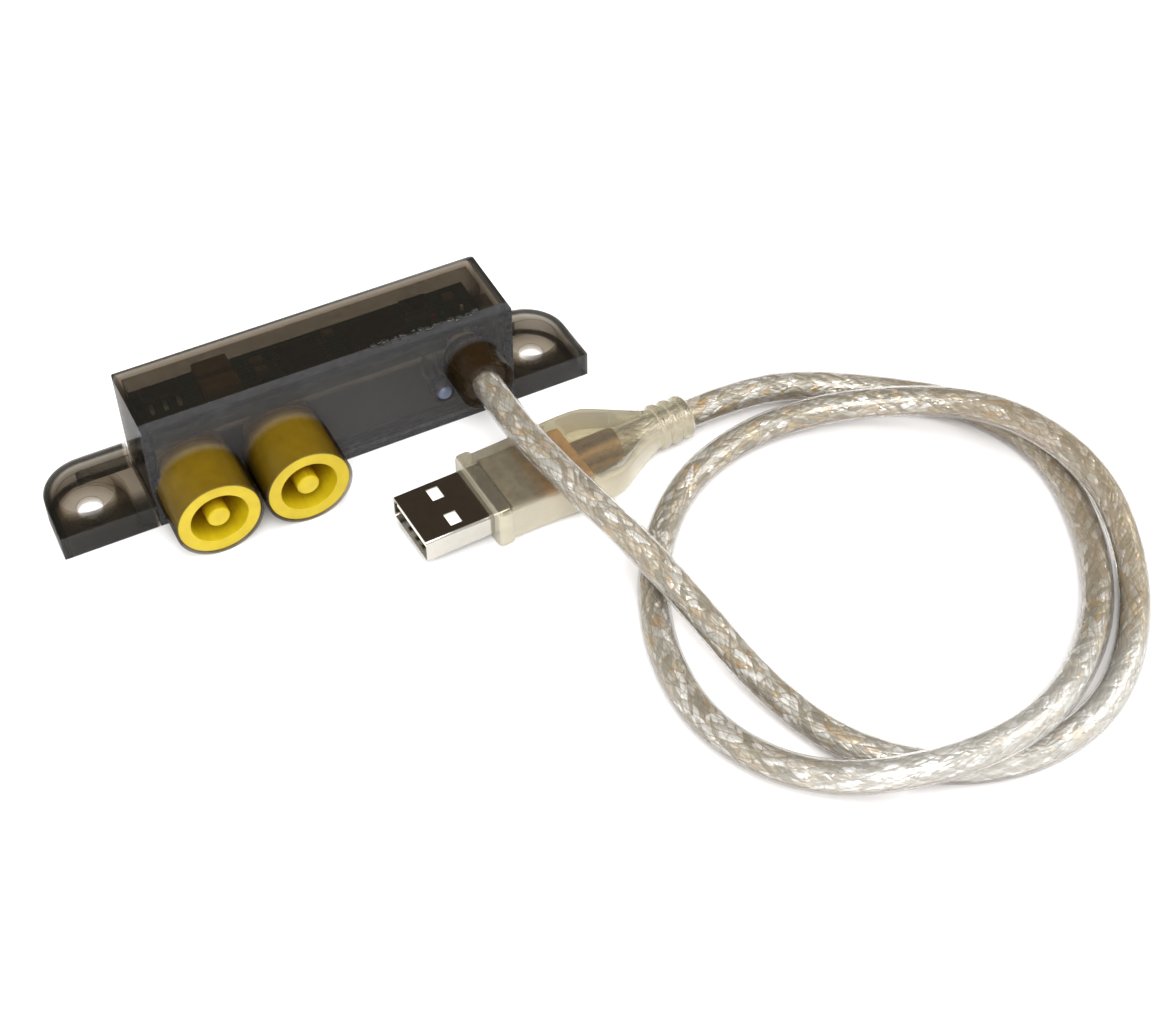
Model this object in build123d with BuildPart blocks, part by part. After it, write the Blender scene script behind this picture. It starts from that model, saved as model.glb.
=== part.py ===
from build123d import *
import math
import os

# A small USB programmer, in millimetres. The smoke-clear housing stands on z = 0 with its two
# screw ears along X. The two round contact sockets, the cable boss and the cable are at the front, -Y.

# Housing
BODY_LEFT = -31.0
BODY_RIGHT = 33.0
BODY_FRONT = -3.2
BODY_BACK = 13.2
BODY_HEIGHT = 21.0
WALL = 1.5
PANEL_THICKNESS = 2.0
LIP = 0.8
LIP_GAP = 0.1
BACK_ROUND = 1.8

# Screw ears
EAR_REACH = 47.2
EAR_HEIGHT = 4.8
EAR_ROUND = 7.8
EAR_RIM = 1.4
EAR_SKIN = 1.6
EAR_FLARE = 0.2
SCREW_X = 40.25
SCREW_Y = 5.2
SCREW_HOLE_RADIUS = 2.2
SCREW_HEAD_RADIUS = 4.7
SCREW_SEAT = 1.3
SCREW_BOSS_RADIUS = 6.5

# Contact sockets
SOCKET_XS = {"left": -23.6, "right": -8.36}
SOCKET_Z = 7.45
BARREL_RADIUS = 7.4
BARREL_LENGTH = 10.0
INSERT_RADIUS = 6.9
INSERT_GAP = 0.08
INSERT_RECESS = 0.2
INSERT_FLANGE_RADIUS = 7.3
INSERT_FLANGE = 1.5
FLANGE_WIDTH = 11.6
FLANGE_HEIGHT = 12.0
FLANGE_RAISE = 1.2
CUP_RADIUS = 4.8
CUP_FLOOR = 1.0
POST_RADIUS = 1.9
POST_RECESS = 0.15
POST_ROUND = 0.55
SLOT_SETBACK = 1.0
SLOT_ABOVE_POST = 0.6
FOOT_SLOT_HALF_WIDTH = 0.6
FOOT_SLOT_HALF_HEIGHT = 0.4

# Socket contacts
LEAF_WIDTH = 2.0
LEAF_THICKNESS = 0.25
LEAF_SLOT_WIDTH = 2.6
LEAF_SLOT_TOP = 6.35
LEAF_ROOT_Z = 5.5
LEAF_DIP_Z = 4.1
LEAF_TIP_Z = 5.1
LEAF_REACH = 8.4
LEAF_TIP_REACH = 10.1
LEAF_PIVOT_Y = -0.9
LEAF_GAP = 0.3
STRIP_WIDTH = 0.8
STRIP_THICKNESS = 0.4
RING_THICKNESS = 0.4
RING_GAP = 0.1

# Circuit board
BOARD_LEFT = -29.2
BOARD_RIGHT = 30.4
BOARD_FRONT = -1.0
BOARD_BACK = 11.5
BOARD_BOTTOM = 15.0
BOARD_THICKNESS = 1.6
LEDGE = 1.5
RIB_REACH = 1.0
RIB_FRONT = 4.0
RIB_BACK = 6.0
LEAD_STANDOUT = 0.7
CONTACT_HOLE_RADIUS = 0.6
LEAF_HOLE_Y = 1.3
RING_HOLE_Y = 3.4

# Status light
LED_X = 20.3
LED_Z = 7.0
LED_RADIUS = 1.5
LED_FLANGE_RADIUS = 1.9
LED_FLANGE = 1.0
LED_PITCH = 2.54
LED_LEAD = 0.5
LED_HOLE_Y = 3.6
LED_PROUD = 0.3

# Cable and its boss
CABLE_RADIUS = 2.6
CABLE_X = 25.0
CABLE_Z = 12.9
BOSS_RADIUS = 4.8
BOSS_BORE_RADIUS = 3.9
BOSS_LENGTH = 7.0
TAIL_END_Y = 1.5
WIRE_RADIUS = 0.5
WIRE_TIP_RADIUS = 0.3
WIRE_HOLE_RADIUS = 0.45
WIRE_HOLE_Y = 5.2

# USB plug: s runs from the mouth to the cable, t across
PLUG_TIP = (3.3, -26.0, 4.0)
PLUG_TURN = 2.7
SHELL_WIDTH = 12.0
SHELL_HEIGHT = 4.5
SHELL_WALL = 0.3
SHELL_ROUND = 0.6
SHELL_EXPOSED = 12.2
SHELL_LENGTH = 18.8
TONGUE_THICKNESS = 1.84
TONGUE_LENGTH = 9.0
TONGUE_RECESS = 0.4
TONGUE_SIDE_GAP = 0.3
WINDOW_S = 6.2
WINDOW_T = 3.1
WINDOW_LENGTH = 2.0
WINDOW_WIDTH = 2.6
RELIEF_END = 52.0

board_top = BOARD_BOTTOM + BOARD_THICKNESS
panel_back = BODY_FRONT + PANEL_THICKNESS
barrel_front = BODY_FRONT - BARREL_LENGTH
boss_front = BODY_FRONT - BOSS_LENGTH
lead_top = board_top + LEAD_STANDOUT
cavity_left = BODY_LEFT + WALL
cavity_right = BODY_RIGHT - WALL
cavity_back = BODY_BACK - WALL
cavity_top = BODY_HEIGHT - WALL
ear_centre_x = EAR_REACH - EAR_FLARE - EAR_ROUND
ear_centre_y = BODY_BACK - EAR_ROUND
inner_width = SHELL_WIDTH - 2 * SHELL_WALL
inner_height = SHELL_HEIGHT - 2 * SHELL_WALL

os.makedirs("parts", exist_ok=True)


def finish(piece, name):
    """Label one finished piece and write it."""
    piece.part.label = name
    export_step(piece.part, f"parts/{name}.step")


def facing(y):
    """The plane across the object at y, drawn as seen from the front: X across and Z up."""
    return Plane.XZ.offset(-y)


def box_between(low, high, mode=Mode.ADD):
    """A block from its lowest corner to its highest corner."""
    size = [b - a for a, b in zip(low, high)]
    middle = [(a + b) / 2 for a, b in zip(low, high)]
    with Locations(tuple(middle)):
        Box(*size, mode=mode)


def ear_face(side, root_x):
    """The outline of one screw ear, from the body's end wall at root_x: side is -1 or 1."""
    with BuildLine() as outline:
        end_arc = CenterArc(
            (side * ear_centre_x, ear_centre_y), EAR_ROUND, 0 if side > 0 else 90, 90
        )
        outer = end_arc.vertices().sort_by(Axis.Y)[0]
        back = end_arc.vertices().sort_by(Axis.Y)[-1]
        Polyline(
            (outer.X, outer.Y),
            (side * EAR_REACH, BODY_FRONT),
            (root_x, BODY_FRONT),
            (root_x, BODY_BACK),
            (back.X, back.Y),
        )
    make_face(outline.edges())


# Rear housing: a box open to the front, with a screw ear at each end.
with BuildPart() as rear_housing:
    box_between((BODY_LEFT, panel_back, 0), (BODY_RIGHT, BODY_BACK, BODY_HEIGHT))
    rear_edges = rear_housing.edges().filter_by(Axis.Z).group_by(Axis.Y)[-1]
    roof_edge = rear_housing.edges().filter_by(Axis.X).group_by(Axis.Z)[-1].sort_by(Axis.Y)[-1]
    fillet([*rear_edges, roof_edge], radius=BACK_ROUND)
    for side, root_x in ((-1, BODY_LEFT), (1, BODY_RIGHT)):
        with BuildSketch():
            ear_face(side, root_x)
        extrude(amount=EAR_HEIGHT)
        # The ear is hollow beneath its skin, between its rim and the boss round the screw.
        with BuildSketch():
            ear_face(side, root_x - side * EAR_RIM)
            offset(amount=-EAR_RIM, kind=Kind.INTERSECTION)
            with Locations((side * SCREW_X, SCREW_Y)):
                Circle(SCREW_BOSS_RADIUS, mode=Mode.SUBTRACT)
            with Locations((side * SCREW_X, SCREW_Y - BODY_BACK / 2)):
                Rectangle(2 * SCREW_BOSS_RADIUS, BODY_BACK, mode=Mode.SUBTRACT)
        extrude(amount=EAR_HEIGHT - EAR_SKIN, mode=Mode.SUBTRACT)
        with Locations((side * SCREW_X, SCREW_Y, EAR_HEIGHT)):
            CounterBoreHole(SCREW_HOLE_RADIUS, SCREW_HEAD_RADIUS, EAR_HEIGHT - SCREW_SEAT)
    box_between(
        (cavity_left, panel_back, WALL), (cavity_right, cavity_back, cavity_top), Mode.SUBTRACT
    )
    # Ledges under the board's two ends, and ribs that hold it down.
    ledge_left = (BOARD_LEFT + LEDGE, cavity_back + WALL / 2, BOARD_BOTTOM)
    box_between((cavity_left - WALL / 2, 0, BOARD_BOTTOM - LEDGE), ledge_left)
    ledge_right = (cavity_right + WALL / 2, cavity_back + WALL / 2, BOARD_BOTTOM)
    box_between((BOARD_RIGHT - LEDGE, 0, BOARD_BOTTOM - LEDGE), ledge_right)
    left_rib = (cavity_left - WALL / 2, BOARD_LEFT + RIB_REACH)
    right_rib = (BOARD_RIGHT - RIB_REACH, cavity_right + WALL / 2)
    for near, far in (left_rib, right_rib):
        box_between((near, RIB_FRONT, board_top), (far, RIB_BACK, cavity_top + WALL / 2))
finish(rear_housing, "rear_housing")

# Front panel: closes the box, and carries the two socket barrels and the cable boss.
with BuildPart() as front_panel:
    box_between((BODY_LEFT, BODY_FRONT, 0), (BODY_RIGHT, panel_back, BODY_HEIGHT))
    # A lip along the top and the bottom locates it in the box.
    for lip_z in (WALL + LIP_GAP, cavity_top - LIP_GAP - LIP):
        box_between(
            (cavity_left + LIP, panel_back, lip_z), (cavity_right - LIP, panel_back + LIP, lip_z + LIP)
        )
    with BuildSketch(facing(BODY_FRONT)):
        with Locations(*[(x, SOCKET_Z) for x in SOCKET_XS.values()]):
            Circle(BARREL_RADIUS)
    extrude(amount=BARREL_LENGTH)
    with BuildSketch(facing(BODY_FRONT)):
        with Locations((CABLE_X, CABLE_Z)):
            Circle(BOSS_RADIUS)
    extrude(amount=BOSS_LENGTH)
    with BuildSketch(facing(cavity_back)):
        with Locations(*[(x, SOCKET_Z) for x in SOCKET_XS.values()]):
            Circle(INSERT_RADIUS + INSERT_GAP)
        with Locations((CABLE_X, CABLE_Z)):
            Circle(BOSS_BORE_RADIUS)
        with Locations((LED_X, LED_Z)):
            Circle(LED_RADIUS + INSERT_GAP)
    extrude(amount=cavity_back - barrel_front, mode=Mode.SUBTRACT)
finish(front_panel, "front_panel")

# Sockets: a yellow insert in each barrel, with a deep cup around a centre post.
insert_front = barrel_front + INSERT_RECESS
cup_floor = panel_back - CUP_FLOOR
flange_back = panel_back + INSERT_FLANGE
for side, socket_x in SOCKET_XS.items():
    roof = SOCKET_Z + LEAF_SLOT_TOP
    ring_foot = SOCKET_Z - (CUP_RADIUS + POST_RADIUS) / 2

    with BuildPart() as socket:
        # The flange behind the panel has flats that clear the housing's floor and end wall.
        with BuildSketch(facing(flange_back)):
            with Locations((socket_x, SOCKET_Z)):
                Circle(INSERT_FLANGE_RADIUS)
            with Locations((socket_x, SOCKET_Z + FLANGE_RAISE)):
                Rectangle(FLANGE_WIDTH, FLANGE_HEIGHT, mode=Mode.INTERSECT)
        extrude(amount=INSERT_FLANGE)
        with BuildSketch(facing(panel_back)):
            with Locations((socket_x, SOCKET_Z)):
                Circle(INSERT_RADIUS)
        extrude(amount=panel_back - insert_front)
        with BuildSketch(facing(cup_floor)):
            with Locations((socket_x, SOCKET_Z)):
                Circle(CUP_RADIUS)
                Circle(POST_RADIUS, mode=Mode.SUBTRACT)
        extrude(amount=cup_floor - insert_front, mode=Mode.SUBTRACT)
        # The post stops just short of the rim, and its end is rounded over.
        post_end = insert_front + POST_RECESS
        with BuildSketch(facing(post_end)):
            with Locations((socket_x, SOCKET_Z)):
                Circle(POST_RADIUS)
        extrude(amount=POST_RECESS, mode=Mode.SUBTRACT)
        fillet(
            socket.faces().filter_by(Axis.Y).sort_by(lambda face: face.center().Y)[1].edges(),
            radius=POST_ROUND,
        )
        # A slot in the cup's roof takes the spring leaf, and one in its floor takes the ring's foot.
        slot_bottom = SOCKET_Z + POST_RADIUS + SLOT_ABOVE_POST
        slot_low = (socket_x - LEAF_SLOT_WIDTH / 2, insert_front + SLOT_SETBACK, slot_bottom)
        slot_high = (socket_x + LEAF_SLOT_WIDTH / 2, flange_back, roof)
        box_between(slot_low, slot_high, Mode.SUBTRACT)
        foot_low = (socket_x - FOOT_SLOT_HALF_WIDTH, cup_floor, ring_foot - FOOT_SLOT_HALF_HEIGHT)
        foot_high = (socket_x + FOOT_SLOT_HALF_WIDTH, flange_back, ring_foot + FOOT_SLOT_HALF_HEIGHT)
        box_between(foot_low, foot_high, Mode.SUBTRACT)
    finish(socket, f"{side}_socket")

    # The spring leaf dips into the cup and bends up out of a plug's way.
    with BuildPart() as contact_leaf:
        with BuildSketch(Plane.YZ.offset(socket_x - LEAF_WIDTH / 2)):
            with BuildLine():
                Polyline(
                    (LEAF_PIVOT_Y - LEAF_GAP / 2, SOCKET_Z + LEAF_ROOT_Z),
                    (LEAF_PIVOT_Y - LEAF_REACH, SOCKET_Z + LEAF_DIP_Z),
                    (LEAF_PIVOT_Y - LEAF_TIP_REACH, SOCKET_Z + LEAF_TIP_Z),
                    (LEAF_PIVOT_Y - LEAF_TIP_REACH, SOCKET_Z + LEAF_TIP_Z + LEAF_THICKNESS),
                    (LEAF_PIVOT_Y - LEAF_REACH, SOCKET_Z + LEAF_DIP_Z + LEAF_THICKNESS),
                    (LEAF_PIVOT_Y - LEAF_GAP / 2, SOCKET_Z + LEAF_ROOT_Z + LEAF_THICKNESS),
                    close=True,
                )
            make_face()
        extrude(amount=LEAF_WIDTH)
    finish(contact_leaf, f"{side}_contact_leaf")

    # The leaf's fixed root, which runs back through the flange and up through the board.
    root_low = SOCKET_Z + LEAF_ROOT_Z
    with BuildPart() as contact_terminal:
        box_between(
            (socket_x - STRIP_WIDTH / 2, LEAF_PIVOT_Y + LEAF_GAP / 2, root_low),
            (socket_x + STRIP_WIDTH / 2, LEAF_HOLE_Y + STRIP_THICKNESS / 2, root_low + LEAF_THICKNESS),
        )
        box_between(
            (socket_x - STRIP_WIDTH / 2, LEAF_HOLE_Y - STRIP_THICKNESS / 2, root_low),
            (socket_x + STRIP_WIDTH / 2, LEAF_HOLE_Y + STRIP_THICKNESS / 2, lead_top),
        )
    finish(contact_terminal, f"{side}_contact_terminal")

    # The ring on the cup's floor, with its foot led back and up to the board.
    with BuildPart() as ring_contact:
        with BuildSketch(facing(cup_floor)):
            with Locations((socket_x, SOCKET_Z)):
                Circle(CUP_RADIUS - RING_GAP)
                Circle(POST_RADIUS + RING_GAP, mode=Mode.SUBTRACT)
        extrude(amount=RING_THICKNESS)
        box_between(
            (socket_x - STRIP_WIDTH / 2, cup_floor - RING_THICKNESS / 2, ring_foot - STRIP_THICKNESS / 2),
            (socket_x + STRIP_WIDTH / 2, RING_HOLE_Y, ring_foot + STRIP_THICKNESS / 2),
        )
        box_between(
            (socket_x - STRIP_WIDTH / 2, RING_HOLE_Y - STRIP_THICKNESS / 2, ring_foot - STRIP_THICKNESS / 2),
            (socket_x + STRIP_WIDTH / 2, RING_HOLE_Y + STRIP_THICKNESS / 2, lead_top),
        )
    finish(ring_contact, f"{side}_ring_contact")

# Wires: from the cable's tail to the board, each with a bare tip through its hole.
# Each has where it leaves the tail, beside the cable's axis, and its hole's place along the board.
WIRES = {
    "red_wire": ((-1.1, 1.1), 22.4),
    "green_wire": ((-1.1, -1.1), 24.1),
    "black_wire": ((1.1, -1.1), 25.9),
    "white_wire": ((1.1, 1.1), 27.6),
}
WIRE_SAG = 0.7
WIRE_BEND = 0.55
TIP_START = 0.4

# Circuit board: notched round the cable, with a hole for every lead.
NOTCH_HALF_WIDTH = 3.0
NOTCH_DEPTH = 3.2
with BuildPart() as circuit_board:
    box_between((BOARD_LEFT, BOARD_FRONT, BOARD_BOTTOM), (BOARD_RIGHT, BOARD_BACK, board_top))
    box_between(
        (CABLE_X - NOTCH_HALF_WIDTH, BOARD_FRONT, BOARD_BOTTOM),
        (CABLE_X + NOTCH_HALF_WIDTH, BOARD_FRONT + NOTCH_DEPTH, board_top),
        Mode.SUBTRACT,
    )
    with BuildSketch(Plane.XY.offset(BOARD_BOTTOM)):
        for socket_x in SOCKET_XS.values():
            with Locations((socket_x, LEAF_HOLE_Y), (socket_x, RING_HOLE_Y)):
                Circle(CONTACT_HOLE_RADIUS)
        with Locations((LED_X - LED_PITCH / 2, LED_HOLE_Y), (LED_X + LED_PITCH / 2, LED_HOLE_Y)):
            Circle(CONTACT_HOLE_RADIUS)
        with Locations(*[(hole_x, WIRE_HOLE_Y) for _, hole_x in WIRES.values()]):
            Circle(WIRE_HOLE_RADIUS)
    extrude(amount=BOARD_THICKNESS, mode=Mode.SUBTRACT)
finish(circuit_board, "circuit_board")

for name, ((start_x, start_z), hole_x) in WIRES.items():
    tail_x = CABLE_X + start_x
    tail_z = CABLE_Z + start_z
    sag_z = tail_z - WIRE_SAG
    with BuildPart() as wire:
        with BuildLine():
            wire_line = FilletPolyline(
                (tail_x, TAIL_END_Y, tail_z),
                (tail_x, TAIL_END_Y + 1.2, tail_z),
                (hole_x, WIRE_HOLE_Y, sag_z - 0.3),
                (hole_x, WIRE_HOLE_Y, BOARD_BOTTOM - 0.15),
                radius=WIRE_BEND,
            )
        with BuildSketch(Plane(origin=wire_line @ 0, z_dir=wire_line % 0)):
            Circle(WIRE_RADIUS)
        sweep()
        with BuildSketch(Plane.XY.offset(BOARD_BOTTOM - TIP_START)):
            with Locations((hole_x, WIRE_HOLE_Y)):
                Circle(WIRE_TIP_RADIUS)
        extrude(amount=lead_top - BOARD_BOTTOM + TIP_START)
    finish(wire, name)


def gull_lead(width, reach, height, thickness=0.15):
    """One chip lead at the origin: out of the package towards +Y, down, and flat on the board."""
    shoulder = 0.3 * reach
    with BuildPart() as lead:
        with BuildSketch(Plane.YZ.offset(-width / 2)):
            with BuildLine():
                Polyline(
                    (0, height),
                    (shoulder + thickness, height),
                    (shoulder + 2 * thickness, thickness),
                    (reach, thickness),
                    (reach, 0),
                    (shoulder + thickness, 0),
                    (shoulder, height - thickness),
                    (0, height - thickness),
                    close=True,
                )
            make_face()
        extrude(amount=width)
    return lead.part


def lead_places(centre, size, pitch, count, turns):
    """Where the leads of a package stand: count along each side named by a turn in degrees."""
    places = []
    for turn in turns:
        half_depth = size[1] / 2 if turn in (0, 180) else size[0] / 2
        for index in range(count):
            across = (index - (count - 1) / 2) * pitch
            angle = math.radians(turn)
            x = centre[0] + across * math.cos(angle) - half_depth * math.sin(angle)
            y = centre[1] + across * math.sin(angle) + half_depth * math.cos(angle)
            places.append(Location((x, y, board_top), (0, 0, turn)))
    return places


CHIP_CLEARANCE = 0.1
CHIP_CHAMFER = 0.2
TAB_HALF_WIDTH = 1.5
TAB_REACH = 1.4
TAB_THICKNESS = 0.3
# Each package: centre, length, width and height, then its leads' width, reach, pitch, count and sides.
PACKAGES = {
    "microcontroller": ((-1.0, 6.0), (7.0, 7.0, 1.1), (0.35, 1.0, 0.8, 8, (0, 90, 180, 270))),
    "usb_interface_chip": ((11.6, 5.9), (10.2, 5.3, 1.75), (0.3, 1.2, 0.65, 14, (0, 180))),
    "voltage_regulator": ((-24.6, 8.0), (6.5, 3.5, 1.6), (0.7, 1.6, 2.3, 3, (180,))),
}
for name, (centre, size, leads) in PACKAGES.items():
    lead_width, reach, pitch, count, turns = leads
    with BuildPart() as package:
        box_between(
            (centre[0] - size[0] / 2, centre[1] - size[1] / 2, board_top + CHIP_CLEARANCE),
            (centre[0] + size[0] / 2, centre[1] + size[1] / 2, board_top + CHIP_CLEARANCE + size[2]),
        )
        chamfer(package.faces().sort_by(Axis.Z)[-1].edges(), length=CHIP_CHAMFER)
    finish(package, name)
    lead = gull_lead(lead_width, reach, CHIP_CLEARANCE + size[2] / 2)
    with BuildPart() as package_leads:
        with Locations(*lead_places(centre, size, pitch, count, turns)):
            add(lead)
        if name == "voltage_regulator":
            # The heat tab is opposite the three leads.
            tab_front = centre[1] + size[1] / 2
            tab_low = (centre[0] - TAB_HALF_WIDTH, tab_front, board_top)
            tab_high = (centre[0] + TAB_HALF_WIDTH, tab_front + TAB_REACH, board_top + TAB_THICKNESS)
            box_between(tab_low, tab_high)
    finish(package_leads, f"{name}_leads")

# The clock crystal is a flat metal can.
CRYSTAL = ((20.6, 8.8), (5.0, 3.2, 1.3))
CRYSTAL_ROUND = 0.5
with BuildPart() as crystal:
    (crystal_x, crystal_y), (crystal_length, crystal_width, crystal_height) = CRYSTAL
    box_between(
        (crystal_x - crystal_length / 2, crystal_y - crystal_width / 2, board_top),
        (crystal_x + crystal_length / 2, crystal_y + crystal_width / 2, board_top + crystal_height),
    )
    fillet(crystal.edges().filter_by(Axis.Z), radius=CRYSTAL_ROUND)
finish(crystal, "crystal")

# Small two-ended parts: their places, then length, width and height.
CHIP_PARTS = {
    "tantalum_capacitors": (((-15.4, 9.0), (-15.4, 4.6)), (6.0, 3.2, 2.5)),
    "ceramic_capacitors": (((-8.0, 6.2), (-8.0, 8.6), (4.9, 9.4), (4.9, 1.0), (26.6, 8.6)), (2.0, 1.25, 0.9)),
    "resistors": (((-19.4, 0.8), (-15.6, 0.8), (-1.0, -0.1), (11.0, -0.1), (15.4, -0.1)), (2.0, 1.25, 0.5)),
}
for name, (places, (length, width, height)) in CHIP_PARTS.items():
    with BuildPart() as chip_parts:
        for x, y in places:
            low_corner = (x - length / 2, y - width / 2, board_top)
            high_corner = (x + length / 2, y + width / 2, board_top + height)
            box_between(low_corner, high_corner)
    finish(chip_parts, name)

# Status light: a 3 mm lens through the panel, and its two leads up to the board.
led_back = panel_back + LED_FLANGE
with BuildPart() as status_led:
    with BuildSketch(facing(led_back)):
        with Locations((LED_X, LED_Z)):
            Circle(LED_FLANGE_RADIUS)
    extrude(amount=LED_FLANGE)
    with BuildSketch(facing(panel_back)):
        with Locations((LED_X, LED_Z)):
            Circle(LED_RADIUS)
    extrude(amount=PANEL_THICKNESS + LED_PROUD)
    fillet(status_led.faces().sort_by(Axis.Y)[0].edges(), radius=0.8 * LED_RADIUS)
finish(status_led, "status_led")

with BuildPart() as status_led_leads:
    for lead_x in (LED_X - LED_PITCH / 2, LED_X + LED_PITCH / 2):
        low_x = lead_x - LED_LEAD / 2
        high_x = lead_x + LED_LEAD / 2
        box_between(
            (low_x, led_back, LED_Z - LED_LEAD / 2), (high_x, LED_HOLE_Y + LED_LEAD / 2, LED_Z + LED_LEAD / 2)
        )
        box_between(
            (low_x, LED_HOLE_Y - LED_LEAD / 2, LED_Z - LED_LEAD / 2),
            (high_x, LED_HOLE_Y + LED_LEAD / 2, lead_top),
        )
finish(status_led_leads, "status_led_leads")

# Cable entry: a soft bush in the boss grips the cable's tail, and a tie behind the panel holds it.
BUSH_FLANGE = 0.8
TIE_WIDTH = 1.2
TIE_THICKNESS = 0.8
TIE_TAIL_HALF_WIDTH = 1.5
TIE_TAIL_REACH = 2.6
TIE_TAIL_TOP = 0.4
with BuildPart() as cable_bush:
    with BuildSketch(facing(panel_back)):
        with Locations((CABLE_X, CABLE_Z)):
            Circle(BOSS_BORE_RADIUS)
            Circle(CABLE_RADIUS, mode=Mode.SUBTRACT)
    extrude(amount=panel_back - boss_front - BUSH_FLANGE)
finish(cable_bush, "cable_bush")

with BuildPart() as cable_tie:
    with BuildSketch(facing(panel_back + TIE_WIDTH)):
        with Locations((CABLE_X, CABLE_Z)):
            Circle(CABLE_RADIUS + TIE_THICKNESS)
            Circle(CABLE_RADIUS, mode=Mode.SUBTRACT)
    extrude(amount=TIE_WIDTH)
    cable_foot = CABLE_Z - CABLE_RADIUS
    box_between(
        (CABLE_X - TIE_TAIL_HALF_WIDTH, panel_back, cable_foot - TIE_TAIL_REACH),
        (CABLE_X + TIE_TAIL_HALF_WIDTH, panel_back + TIE_WIDTH, cable_foot - TIE_TAIL_TOP),
    )
finish(cable_tie, "cable_tie")

with BuildPart() as cable_tail:
    with BuildSketch(facing(TAIL_END_Y)):
        with Locations((CABLE_X, CABLE_Z)):
            Circle(CABLE_RADIUS)
    extrude(amount=TAIL_END_Y - boss_front)
finish(cable_tail, "cable_tail")

# USB plug. Its plane has its origin at the mouth's centre, X towards the cable and Z up.
turn = math.radians(PLUG_TURN)
plug_plane = Plane(origin=PLUG_TIP, x_dir=(math.cos(turn), math.sin(turn), 0), z_dir=(0, 0, 1))


def across_plug(s):
    """The plane across the plug at s, facing the cable, drawn with t to the right and Z up."""
    origin = plug_plane.from_local_coords((s, 0, 0))
    return Plane(origin=origin, x_dir=plug_plane.y_dir, z_dir=plug_plane.x_dir)


def above_plug(height):
    """The plane over the plug at a height above its axis."""
    return plug_plane.offset(height)


with BuildPart() as plug_shell:
    with BuildSketch(across_plug(0)):
        RectangleRounded(SHELL_WIDTH, SHELL_HEIGHT, SHELL_ROUND)
        RectangleRounded(inner_width, inner_height, SHELL_ROUND - SHELL_WALL, mode=Mode.SUBTRACT)
    extrude(amount=SHELL_LENGTH)
    # Two latch windows above and two below.
    with BuildSketch(above_plug(-SHELL_HEIGHT)):
        with Locations((WINDOW_S, WINDOW_T), (WINDOW_S, -WINDOW_T)):
            Rectangle(WINDOW_LENGTH, WINDOW_WIDTH)
    extrude(amount=2 * SHELL_HEIGHT, mode=Mode.SUBTRACT)
finish(plug_shell, "plug_shell")

# The white tongue lies under the shell's top wall, on a block that fills the shell behind it.
tongue_low = inner_height / 2 - TONGUE_THICKNESS
tongue_width = inner_width - 2 * TONGUE_SIDE_GAP
CONTACT_TS = (-3.5, -1.0, 1.0, 3.5)
CONTACT_WIDTH = 1.0
CONTACT_THICKNESS = 0.25
CONTACT_START = 1.3
CONTACT_TAIL = 2.4
with BuildPart() as plug_contacts:
    with BuildSketch(above_plug(tongue_low)):
        for t in CONTACT_TS:
            with Locations(((CONTACT_START + SHELL_LENGTH + CONTACT_TAIL) / 2, t)):
                Rectangle(SHELL_LENGTH + CONTACT_TAIL - CONTACT_START, CONTACT_WIDTH)
    extrude(amount=CONTACT_THICKNESS)
finish(plug_contacts, "plug_contacts")

with BuildPart() as plug_insulator:
    with BuildSketch(across_plug(TONGUE_RECESS)):
        with Locations((0, inner_height / 2 - TONGUE_THICKNESS / 2)):
            Rectangle(tongue_width, TONGUE_THICKNESS)
    extrude(amount=SHELL_LENGTH - TONGUE_RECESS)
    with BuildSketch(across_plug(TONGUE_LENGTH)):
        Rectangle(tongue_width, inner_height)
    extrude(amount=SHELL_LENGTH - TONGUE_LENGTH)
    add(plug_contacts.part, mode=Mode.SUBTRACT)
finish(plug_insulator, "plug_insulator")

# Inside the grip: the tan inner mould over the shell's rear and the contacts' tails, and the crimp
# on the cable's end.
INNER_MOULD_START = 15.5
INNER_MOULD_END = 30.4
INNER_MOULD_WIDTH = 12.8
INNER_MOULD_HEIGHT = 5.3
INNER_MOULD_ROUND = 0.9
CRIMP_END = 38.0
CRIMP_WALL = 0.5
with BuildPart() as plug_inner_mould:
    with BuildSketch(across_plug(INNER_MOULD_START)):
        RectangleRounded(INNER_MOULD_WIDTH, INNER_MOULD_HEIGHT, INNER_MOULD_ROUND)
    extrude(amount=INNER_MOULD_END - INNER_MOULD_START)
    with BuildSketch(across_plug(INNER_MOULD_START)):
        RectangleRounded(SHELL_WIDTH, SHELL_HEIGHT, SHELL_ROUND)
    extrude(amount=SHELL_LENGTH - INNER_MOULD_START, mode=Mode.SUBTRACT)
    add(plug_contacts.part, mode=Mode.SUBTRACT)
finish(plug_inner_mould, "plug_inner_mould")

with BuildPart() as plug_crimp:
    with BuildSketch(across_plug(INNER_MOULD_END)):
        Circle(CABLE_RADIUS + CRIMP_WALL)
        Circle(CABLE_RADIUS, mode=Mode.SUBTRACT)
    extrude(amount=CRIMP_END - INNER_MOULD_END)
finish(plug_crimp, "plug_crimp")

with BuildPart() as cable_head:
    with BuildSketch(across_plug(INNER_MOULD_END)):
        Circle(CABLE_RADIUS)
    extrude(amount=RELIEF_END - INNER_MOULD_END)
finish(cable_head, "cable_head")

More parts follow.
